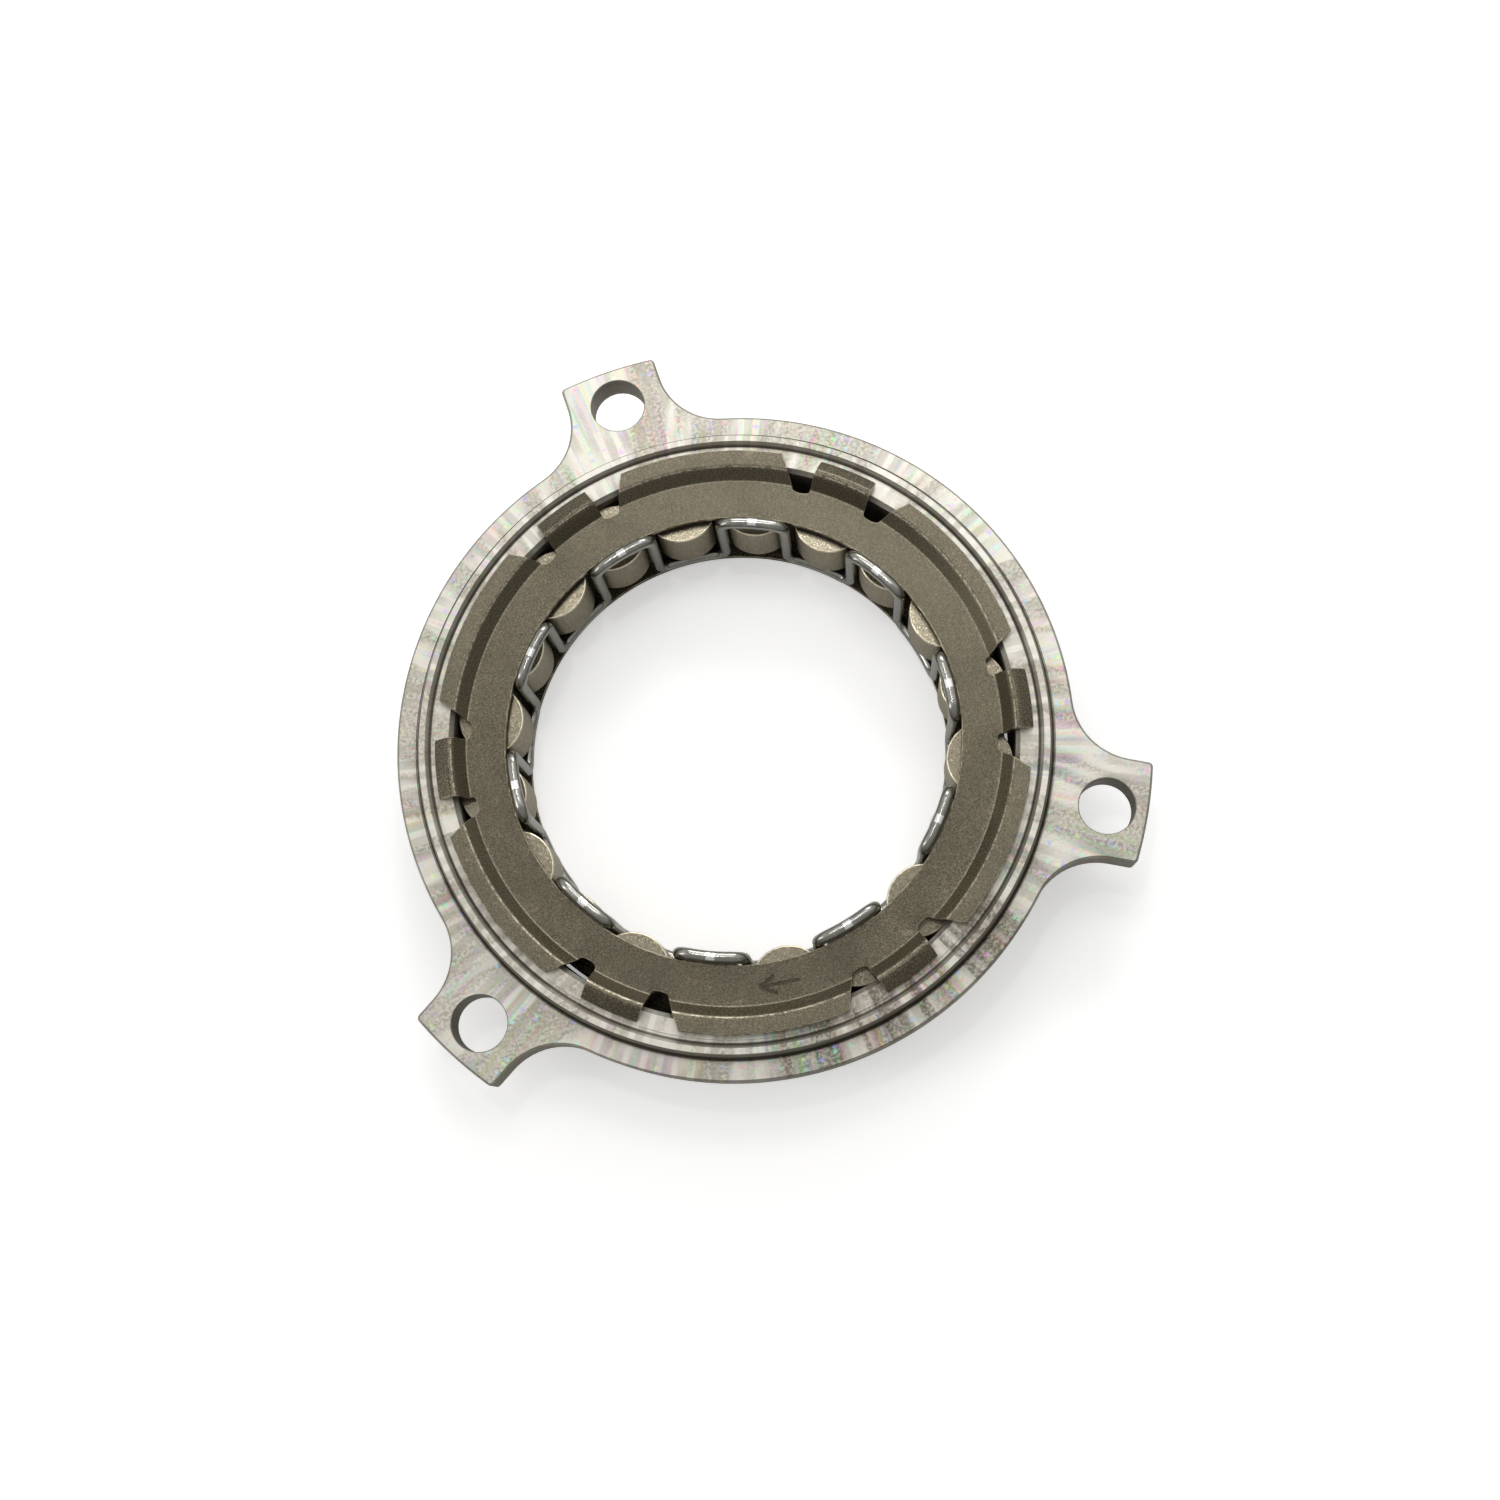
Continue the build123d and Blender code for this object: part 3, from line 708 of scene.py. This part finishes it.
@dataclass
class OuterRace:
    """One-piece eared race: plate with bolt ears, collar, pocket for the cage, bore and hub."""

    race_r: float = 35.5
    race_break: float = 0.55
    floor_z: float = 1.47
    groove_in_r: float = 37.95
    pocket_r: float = 38.4
    groove_depth: float = 0.15
    collar_in_r: float = 38.95
    collar_taper_r: float = 39.7
    collar_r: float = 40.0
    collar_top: float = 2.0
    taper_z: float = 1.25
    relief_r: float = 40.55
    relief_depth: float = 0.3
    relief_slope_run: float = 0.2
    hub_r: float = 40.3
    hub_break: float = 0.5
    hub_bottom: float = -12.5
    thickness: float = 4.5
    ring_r: float = 43.0
    ear_half_width: float = 6.45
    ear_tip_r: float = 52.63
    ear_corner_r: float = 0.6
    ear_root_fillet: float = 8.4
    bolt_circle_r: float = 47.5
    bolt_r: float = 3.5
    hole_break: float = 0.12
    rim_break: float = 0.3
    ear_angles: tuple[float, ...] = (90.0, 210.0, 330.0)
    curve_chords: int = 14
    corner_chords: int = 5
    gap_chords: int = 70
    hole_chords: int = 96
    facets: int = 360
    edge_mm: float = 0.06

    def ear(self, inset: float) -> list[Point2]:
        """Outline of one ear beside +Y, from its right root to its left root.

        Args:
            inset: How far the outline is drawn in, for the broken edges.

        Returns:
            The outline's points.
        """
        w = self.ear_half_width - inset
        fillet = self.ear_root_fillet + inset
        corner = self.ear_corner_r - inset
        tip = self.ear_tip_r - inset
        root_x = w + fillet
        root_y = math.sqrt((self.ring_r - inset + fillet) ** 2 - root_x ** 2)
        side = arc((root_x, root_y), fillet, math.atan2(-root_y, -root_x), -math.pi, self.curve_chords)
        corner_x = w - corner
        corner_y = math.sqrt((tip - corner) ** 2 - corner_x ** 2)
        bearing = math.atan2(corner_y, corner_x)
        side += arc((corner_x, corner_y), corner, 0.0, bearing, self.corner_chords)
        top = arc((0.0, 0.0), tip, bearing, math.pi - bearing, self.curve_chords)
        return side + top[1:-1] + [(-x, y) for x, y in reversed(side)]

    def outline(self, inset: float, z: float) -> list[Vector]:
        """Outline of the ring with its ears, anticlockwise.

        Args:
            inset: How far the outline is drawn in.
            z: Height of the outline.

        Returns:
            The outline's points.
        """
        ear = self.ear(inset)
        reach = math.degrees(math.atan2(ear[0][0], ear[0][1]))
        gap = 360.0 / len(self.ear_angles) - 2.0 * reach
        places = []
        for angle in self.ear_angles:
            places += [beside(p, angle, z) for p in ear]
            turns = [angle + reach + gap * i / self.gap_chords for i in range(1, self.gap_chords)]
            places += [on_circle(self.ring_r - inset, turn, z) for turn in turns]
        return places

    def hole(self, angle: float, radius: float, z: float) -> list[Vector]:
        """Circle of one bolt hole at a height."""
        middle = on_circle(self.bolt_circle_r, angle, z)
        return [middle + on_circle(radius, 360.0 * i / self.hole_chords) for i in range(self.hole_chords)]

    def wall(self, broken: float) -> list[Point2]:
        """Inset and height of each row down a wall of the plate whose edges are broken by that much."""
        low = -self.thickness
        return [(broken, 0.0), (0.0, -broken), (0.0, low + broken), (broken, low)]

    def inner_profile(self) -> list[Point2]:
        """Turned profile from the plate's face, over the collar and down the bore, to its underside."""
        return [
            (self.relief_r, 0.0),
            (self.relief_r, -self.relief_depth),
            (self.collar_r + self.relief_slope_run, -self.relief_depth),
            (self.collar_r, 0.0),
            (self.collar_r, self.taper_z),
            (self.collar_taper_r, self.collar_top),
            (self.collar_in_r, self.collar_top),
            (self.pocket_r, self.floor_z),
            (self.pocket_r, self.floor_z - self.groove_depth),
            (self.groove_in_r, self.floor_z - self.groove_depth),
            (self.groove_in_r, self.floor_z),
            (self.race_r + self.race_break, self.floor_z),
            (self.race_r, self.floor_z - self.race_break),
            (self.race_r, self.hub_bottom + self.hub_break),
            (self.race_r + self.hub_break, self.hub_bottom),
            (self.hub_r - self.hub_break, self.hub_bottom),
            (self.hub_r, self.hub_bottom + self.hub_break),
            (self.hub_r, -self.thickness),
        ]

    def build(self, finish: bpy.types.Material) -> bpy.types.Object:
        """Build the race.

        Args:
            finish: Its steel.

        Returns:
            The finished piece.
        """
        shell = Shell()
        rim = [shell.points(self.outline(inset, z)) for inset, z in self.wall(self.rim_break)]
        shell.skin(rim)
        top_holes, low_holes = [], []
        for angle in self.ear_angles:
            wall = self.wall(self.hole_break)
            rows = [shell.points(self.hole(angle, self.bolt_r + inset, z)) for inset, z in wall]
            shell.skin(rows)
            top_holes.append(rows[0])
            low_holes.append(rows[-1])
        rows = [shell.ring(r, z, self.facets) for r, z in self.inner_profile()]
        shell.skin(rows)
        shell.fill(rim[0], rows[0], *top_holes)
        shell.fill(rim[-1], rows[-1], *low_holes)
        return shell.piece("outer_race", "race", [finish], self.edge_mm)


@dataclass
class Cage:
    """Stamped cage: notched flange, short and long tabs, posts between the sprags and a lower ring."""

    sheet: float = 0.7
    flange_top: float = 1.0
    inner_r: float = 28.85
    crease_r: float = 33.9
    bend_r: float = 0.25
    bend_chords: int = 8
    tabs: int = 6
    short_angle: float = 47.6
    short_half_width: float = 3.81
    short_line: tuple[Point2, ...] = ((33.9, 1.0), (35.5, 3.58), (37.64, 2.11))
    short_chords: int = 14
    long_line: tuple[Point2, ...] = ((33.9, 1.0), (35.25, 2.5), (37.43, 2.66))
    long_root_half: float = 19.5
    long_tip_half: float = 16.3
    long_chords: int = 44
    notch_bottom_r: float = 33.2
    notch_chords: int = 14
    notch_round: float = 0.8
    notch_square: float = 0.85
    post_in_r: float = 30.3
    post_out_r: float = 32.5
    post_width: float = 1.5
    posts: int = 20
    first_post: float = 93.0
    lower_in_r: float = 27.6
    lower_out_r: float = 35.1
    lower_top: float = -11.55
    facets: int = 360
    edge_mm: float = 0.09

    def stations(self, line: Sequence[Point2]) -> list[Point3]:
        """Top surface of a tab from the flange to its tip, its bends rounded.

        Args:
            line: The unrounded (radius, z) corners, starting at the crease.

        Returns:
            Radius, z and slope angle of each row of points.
        """
        path = [(self.crease_r - 1.5, self.flange_top), *line]
        rows: list[Point3] = []
        for (ar, az), (br, bz), (cr, cz) in zip(path, path[1:], path[2:]):
            slope_in = math.atan2(bz - az, br - ar)
            turn = math.atan2(cz - bz, cr - br) - slope_in
            radius = self.bend_r if turn > 0 else self.bend_r + self.sheet
            back = radius * math.tan(abs(turn) / 2)
            reach = math.copysign(radius, turn)
            centre_r = br - back * math.cos(slope_in) - reach * math.sin(slope_in)
            centre_z = bz - back * math.sin(slope_in) + reach * math.cos(slope_in)
            for k in range(self.bend_chords + 1):
                slope = slope_in + turn * k / self.bend_chords
                rows.append((centre_r + reach * math.sin(slope), centre_z - reach * math.cos(slope), slope))
        return [*rows, (*path[-1], rows[-1][2])]

    def short_half(self, radius: float) -> float:
        """Half-angle of a short tab at a radius: its sides are parallel."""
        return math.degrees(math.asin(self.short_half_width / radius))

    def long_half(self, radius: float) -> float:
        """Half-angle of a long tab at a radius: its ends are straight and slanted.

        Args:
            radius: Radius in millimetres.

        Returns:
            The half-angle in degrees.
        """
        tip_r = self.long_line[-1][0]
        root = on_circle(self.crease_r, 90.0 - self.long_root_half)
        tip = on_circle(tip_r, 90.0 - self.long_tip_half)
        at = root.lerp(tip, (radius - self.crease_r) / (tip_r - self.crease_r))
        return math.degrees(math.atan2(at.x, at.y))

    def tab(
        self, shell: Shell, angle: float, line: Sequence[Point2], half: Callable[[float], float], across: int
    ) -> tuple[Row, Row]:
        """Add one tab.

        Args:
            shell: Mesh that it is added to.
            angle: Middle of the tab.
            line: Its unrounded profile.
            half: Half-angle at a radius.
            across: Number of facets across it.

        Returns:
            The top and bottom rows of points at its root.
        """
        tops, unders = [], []
        for r, z, slope in self.stations(line):
            under_r = r + self.sheet * math.sin(slope)
            under_z = z - self.sheet * math.cos(slope)
            for rows, radius, height in ((tops, r, z), (unders, under_r, under_z)):
                reach = half(radius)
                turns = [angle - reach + 2 * reach * j / across for j in range(across + 1)]
                rows.append(shell.points(on_circle(radius, turn, height) for turn in turns))
        shell.skin(tops, closed=False)
        shell.skin(unders, closed=False)
        for j in (0, -1):
            shell.band([row[j] for row in tops], [row[j] for row in unders], closed=False, material=1)
        shell.band(tops[-1], unders[-1], closed=False, material=1)
        return tops[0], unders[0]

    def flange(self, shell: Shell, roots: Sequence[tuple[Row, Row]]) -> None:
        """Add the flange with its notches between the tabs' roots.

        Args:
            shell: Mesh that it is added to.
            roots: Top and bottom root rows of the tabs, anticlockwise.
        """
        under = self.flange_top - self.sheet
        outer_top, outer_under = [], []
        for (top, low), (next_top, next_low) in zip(roots, [*roots[1:], roots[0]]):
            start, end = top[-1].co, next_top[0].co
            first = math.degrees(math.atan2(start.y, start.x))
            span = (math.degrees(math.atan2(end.y, end.x)) - first) % 360.0
            rim = math.hypot(start.x, start.y)
            notch = []
            for k in range(1, self.notch_chords):
                t = math.pi * k / self.notch_chords
                across = math.copysign(abs(math.cos(t)) ** self.notch_square, math.cos(t))
                depth = (rim - self.notch_bottom_r) * math.sin(t) ** self.notch_round
                notch.append((rim - depth, first + span * (0.5 - 0.5 * across)))
            notch_top = shell.points(on_circle(r, a, self.flange_top) for r, a in notch)
            notch_low = shell.points(on_circle(r, a, under) for r, a in notch)
            rows = [top[-1], *notch_top, next_top[0]], [low[-1], *notch_low, next_low[0]]
            shell.band(*rows, closed=False, material=1)
            outer_top += [*top, *notch_top]
            outer_under += [*low, *notch_low]
        inner_top = shell.ring(self.inner_r, self.flange_top, self.facets)
        inner_under = shell.ring(self.inner_r, under, self.facets)
        shell.band(inner_top, inner_under, material=1)
        shell.fill(outer_top, inner_top)
        shell.fill(outer_under, inner_under)

    def post(self, shell: Shell, angle: float) -> None:
        """Add one post between two sprags.

        Args:
            shell: Mesh that it is added to.
            angle: Its angle round the clutch axis.
        """
        w = self.post_width / 2
        corners = [(w, self.post_in_r), (w, self.post_out_r), (-w, self.post_out_r), (-w, self.post_in_r)]
        top = shell.points(beside(c, angle, self.flange_top - self.sheet / 2) for c in corners)
        bottom = shell.points(beside(c, angle, self.lower_top - self.sheet / 2) for c in corners)
        shell.band(bottom, top)
        shell.face(top)
        shell.face(bottom[::-1])

    def build(self, coat: bpy.types.Material, edge: bpy.types.Material) -> bpy.types.Object:
        """Build the cage.

        Args:
            coat: Finish of the sheet.
            edge: Finish of its cut edges.

        Returns:
            The finished piece.
        """
        shell = Shell()
        roots = []
        pitch = 360.0 / self.tabs
        for i in range(self.tabs):
            angle = self.short_angle + i * pitch
            roots.append(self.tab(shell, angle, self.short_line, self.short_half, self.short_chords))
            roots.append(self.tab(shell, angle + pitch / 2, self.long_line, self.long_half, self.long_chords))
        self.flange(shell, roots)
        for i in range(self.posts):
            self.post(shell, self.first_post + i * 360.0 / self.posts)
        high, low = self.lower_top, self.lower_top - self.sheet
        corners = [(self.lower_in_r, high), (self.lower_in_r, low), (self.lower_out_r, low)]
        rows = [shell.ring(r, z, self.facets) for r, z in [*corners, (self.lower_out_r, high)]]
        shell.skin([*rows, rows[0]])
        return shell.piece("cage", "cage_set", [coat, edge], self.edge_mm, 1)


@dataclass
class Sprag:
    """One sprag: inner cam, outer cam, hollowed flanks and rounded corners."""

    count: int = 20
    first_angle: float = 84.0
    top: float = -0.6
    length: float = 8.0
    pivot_r: float = 31.8
    inner_cam_r: float = 4.8
    outer_cam_r: float = 5.03
    outer_offset: float = 0.5
    tip_r: float = 35.44
    half_width: float = 3.74
    waist: float = 0.42
    corner_cut: float = 0.2625
    edge_mm: float = 0.17
    inner_chords: int = 28
    outer_chords: int = 24
    flank_chords: int = 10
    corner_chords: int = 4

    def outline(self) -> list[Point2]:
        """Draw the outline beside +Y, anticlockwise, its corners cut back to small rounds.

        Returns:
            The outline's points.
        """
        w = self.half_width
        outer_y = self.tip_r - self.outer_cam_r
        reach = math.acos(w / self.inner_cam_r)
        low = self.pivot_r - self.inner_cam_r * math.sin(reach)
        right = outer_y + math.sqrt(self.outer_cam_r ** 2 - (w - self.outer_offset) ** 2)
        left = outer_y + math.sqrt(self.outer_cam_r ** 2 - (w + self.outer_offset) ** 2)
        a_right = math.acos((w - self.outer_offset) / self.outer_cam_r)
        a_left = math.pi - math.acos((w + self.outer_offset) / self.outer_cam_r)
        middle = (0.0, self.pivot_r)
        sides = [
            arc(middle, self.inner_cam_r, math.pi + reach, 2 * math.pi - reach, self.inner_chords),
            arc_through((w, low), (w, right), self.waist, self.flank_chords),
            arc((self.outer_offset, outer_y), self.outer_cam_r, a_right, a_left, self.outer_chords),
            arc_through((-w, left), (-w, low), self.waist, self.flank_chords),
        ]
        points: list[Point2] = []
        for i, side in enumerate(sides):
            points += self.corner(sides[i - 1], side)
            points += side[1:-1]
        return points

    def corner(self, before: Sequence[Point2], after: Sequence[Point2]) -> list[Point2]:
        """Round the corner where one side of the outline ends and the next begins.

        Args:
            before: Points of the side that ends there.
            after: Points of the side that begins there.

        Returns:
            Points of a small curve that touches both sides.
        """
        tip = Vector(before[-1])
        ends = []
        for beyond in (Vector(before[-2]), Vector(after[1])):
            way = beyond - tip
            ends.append(tip + way.normalized() * min(self.corner_cut, way.length * 0.9))
        places = []
        for k in range(self.corner_chords + 1):
            t = k / self.corner_chords
            p = ends[0] * (1 - t) ** 2 + tip * 2 * t * (1 - t) + ends[1] * t ** 2
            places.append((p.x, p.y))
        return places

    def build(self, name: str, angle: float, finishes: Sequence[bpy.types.Material]) -> bpy.types.Object:
        """Build one sprag at its place.

        Args:
            name: Its CAD node.
            angle: Its angle round the clutch axis.
            finishes: End, flank and edge finish.

        Returns:
            The finished piece.
        """
        shell = Shell()
        outline = self.outline()
        top = shell.points(beside(p, angle, self.top) for p in outline)
        low = shell.points(beside(p, angle, self.top - self.length) for p in outline)
        shell.band(low, top, material=1)
        shell.face(top)
        shell.face(low[::-1])
        return shell.piece(name, name + "_body", finishes, self.edge_mm, 2)


@dataclass
class MeanderSpring:
    """One round wire that runs over one sprag and under the next, all the way round."""

    wire_r: float = 0.75
    bend_r: float = 1.6
    leg_r: float = 28.0
    top_z: float = 1.56
    bottom_z: float = -10.75
    leg_half_angle: float = 8.45
    pitch: float = 18.0
    loops: int = 10
    seam_angle: float = 264.0
    end_gap: float = 1.0
    middle_gap_angle: float = 1.0
    chords: int = 8
    around: int = 20

    @property
    def bar_r(self) -> float:
        """Radius of the bars, at which their bends end on the legs' circle."""
        return math.sqrt(self.leg_r ** 2 - self.bend_r ** 2)

    def bar(self, centre: float, first: float, last: float, z: float) -> list[tuple[Vector, Vector]]:
        """Points of a bar between two angles that are counted from its centre, with outward directions."""
        angles = [centre + first + (last - first) * i / self.chords for i in range(self.chords + 1)]
        return [(on_circle(self.bar_r, a, z), on_circle(1.0, a)) for a in angles]

    def bend(self, angle: float, z: float, side: float, entering: bool) -> list[tuple[Vector, Vector]]:
        """Draw a bend between a bar and a leg.

        Args:
            angle: Angle where the bar meets the bend.
            z: The bar's height.
            side: 1 where the bend goes on anticlockwise from the bar, -1 where it goes clockwise.
            entering: Whether the wire comes from the bar rather than from the leg.

        Returns:
            Its points, each with the outward direction.
        """
        out = on_circle(1.0, angle)
        along = on_circle(1.0, angle + 90.0 * side)
        towards = 1.0 if z == self.bottom_z else -1.0
        middle = on_circle(self.bar_r, angle, z + towards * self.bend_r)
        points = []
        for k in range(1, self.chords + 1):
            t = 0.5 * math.pi * k / self.chords
            offset = along * math.sin(t) - Vector((0, 0, 1)) * towards * math.cos(t)
            points.append((middle + offset * self.bend_r, out))
        return points if entering else points[::-1]

    def path(self) -> list[tuple[Vector, Vector]]:
        """Draw the centre line of the wire.

        Returns:
            Each point with the outward direction that its section is turned by.
        """
        bend_angle = math.degrees(math.asin(self.bend_r / self.leg_r))
        top_half = self.leg_half_angle - bend_angle
        low_half = self.pitch - self.leg_half_angle - bend_angle
        seam = math.degrees(0.5 * self.end_gap / self.bar_r)
        line: list[tuple[Vector, Vector]] = []
        for i in range(self.loops):
            under = self.seam_angle + 2 * i * self.pitch
            over = under + self.pitch
            following = over + self.pitch
            last = -seam if i == self.loops - 1 else -self.middle_gap_angle
            line += self.bar(under, seam if i == 0 else 0.0, low_half, self.bottom_z)
            line += self.bend(under + low_half, self.bottom_z, 1.0, True)
            line += self.bend(over - top_half, self.top_z, -1.0, False)
            line += self.bar(over, -top_half, top_half, self.top_z)
            line += self.bend(over + top_half, self.top_z, 1.0, True)
            line += self.bend(following - low_half, self.bottom_z, -1.0, False)
            line += self.bar(following, -low_half, last, self.bottom_z)
        return line

    def build(self, finish: bpy.types.Material) -> bpy.types.Object:
        """Build the spring.

        Args:
            finish: Its wire.

        Returns:
            The finished piece.
        """
        shell = Shell()
        line = self.path()
        rows = []
        for i, (place, out) in enumerate(line):
            along = (line[min(i + 1, len(line) - 1)][0] - line[max(i - 1, 0)][0]).normalized()
            side = (out - along * out.dot(along)).normalized()
            other = along.cross(side)
            turns = [2 * math.pi * k / self.around for k in range(self.around)]
            ring = [place + (side * math.cos(a) + other * math.sin(a)) * self.wire_r for a in turns]
            rows.append(shell.points(ring))
        shell.skin(rows)
        shell.face(rows[0])
        shell.face(rows[-1][::-1])
        return shell.piece("meander_spring", "cage_set", [finish])


@dataclass(frozen=True)
class Lamp:
    """One area light: name, place and size in millimetres, and power in watts."""

    name: str
    place: Point3
    wide: float
    high: float
    power: float


@dataclass(frozen=True)
class Patch:
    """One patch of the room: direction, inner and outer half-angle in degrees, and factor on its light."""

    towards: Point3
    narrow: float
    wide: float
    gain: float


@dataclass
class Studio:
    """Pale table, soft lights and the camera at the photograph's angle."""

    table_z: float = -12.5
    table_size: float = 4000.0
    camera_mm: Point3 = (-0.80, -53.63, 234.18)
    camera_turn: Point3 = (11.895, 3.489, -18.748)
    lens_mm: float = 45.594
    sensor_mm: float = 36.0
    clip_start: float = 0.01
    room_colour: tuple[float, ...] = (1.0, 0.99, 0.97, 1.0)
    room_rise: Point2 = (0.1, 0.75)
    room_low: float = 0.5
    room_high: float = 0.85
    near_rise: Point2 = (-0.22, 0.05)
    near_shade: float = 0.5
    patches: tuple[Patch, ...] = (
        Patch((0.015, 0.1, 0.99), 5.5, 11.0, 0.04),
        Patch((0.0, 0.48, 0.88), 9.0, 24.0, 0.3),
        Patch((0.5, 0.1, 0.86), 12.0, 36.0, 1.1),
    )
    lamps: tuple[Lamp, ...] = (
        Lamp("back_softbox", (120.0, 230.0, 170.0), 170.0, 90.0, 0.3),
        Lamp("left_softbox", (-460.0, 60.0, 260.0), 120.0, 300.0, 0.4),
        Lamp("ceiling_lamp", (-10.0, 110.0, 520.0), 24.0, 24.0, 0.14),
        Lamp("far_panel", (36.0, 94.0, 235.0), 130.0, 50.0, 0.07),
    )

    def light(self, lamp: Lamp) -> None:
        """Add one area light that faces the clutch.

        Args:
            lamp: What the light is like.
        """
        data = bpy.data.lights.new(lamp.name, "AREA")
        data.shape = "RECTANGLE"
        data.size = lamp.wide * MM
        data.size_y = lamp.high * MM
        data.energy = lamp.power
        light = bpy.data.objects.new(lamp.name, data)
        light.location = Vector(lamp.place) * MM
        light.rotation_euler = light.location.to_track_quat("Z", "Y").to_euler()
        bpy.context.scene.collection.objects.link(light)

    def world(self) -> None:
        """White behind the object; for all else a room, bright above and dark where people stand."""
        b = Bench(bpy.data.worlds.new("studio"))
        way = (b.add("TexCoord"), "Generated")
        parts = b.add("SeparateXYZ", {0: way})
        room = b.step((parts, "Z"), *self.room_rise, self.room_low, self.room_high)
        room = b.times(room, b.step((parts, "Y"), *self.near_rise, self.near_shade, 1.0))
        for patch in self.patches:
            aim = Vector(patch.towards).normalized()
            dot = b.add("VectorMath", {0: way, 1: aim}, operation="DOT_PRODUCT")
            rim, core = math.cos(math.radians(patch.wide)), math.cos(math.radians(patch.narrow))
            room = b.times(room, b.step((dot, "Value"), rim, core, 1.0, patch.gain))
        around = b.add("Background", {"Strength": room, "Color": self.room_colour})
        white = b.add("Background", {"Color": "#ffffff"})
        seen = (b.add("LightPath"), "Is Camera Ray")
        mix = b.add("MixShader", {"Fac": seen, 1: (around, "Background"), 2: (white, "Background")})
        b.add("OutputWorld", {"Surface": (mix, "Shader")})
        bpy.context.scene.world = b.owner

    def build(self) -> None:
        """Set up the table, the lights, the camera and the view."""
        table = bpy.data.meshes.new("table")
        half = self.table_size / 2 * MM
        corners = [(-half, -half), (half, -half), (half, half), (-half, half)]
        table.from_pydata([(x, y, self.table_z * MM) for x, y in corners], [], [(0, 1, 2, 3)])
        table.materials.append(PaleTable().build())
        floor = bpy.data.objects.new("table", table)
        bpy.context.scene.collection.objects.link(floor)
        for lamp in self.lamps:
            self.light(lamp)
        self.world()
        data = bpy.data.cameras.new("camera")
        data.sensor_width = self.sensor_mm
        data.lens = self.lens_mm
        data.clip_start = self.clip_start
        camera = bpy.data.objects.new("camera", data)
        camera.location = Vector(self.camera_mm) * MM
        camera.rotation_euler = Euler([math.radians(a) for a in self.camera_turn], "XYZ")
        bpy.context.scene.collection.objects.link(camera)
        bpy.context.scene.camera = camera
        bpy.context.scene.view_settings.view_transform = "Standard"


def main() -> None:
    """Build the studio and every sub-assembly."""
    logging.basicConfig(level=logging.INFO, format="%(name)s %(message)s")
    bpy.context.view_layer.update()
    Studio().build()
    OuterRace().build(GroundSteel().build())
    Cage().build(PhosphatedSheet().build(), SHEARED_EDGE.build())
    MeanderSpring().build(DrawnWire().build())
    finishes = [steel.build() for steel in (TUMBLED_STEEL, HONED_STEEL, POLISHED_EDGE)]
    sprag = Sprag()
    for i in range(sprag.count):
        sprag.build(f"sprag_{i + 1:02d}", sprag.first_angle + i * 360.0 / sprag.count, finishes)


if __name__ == "__main__":
    main()
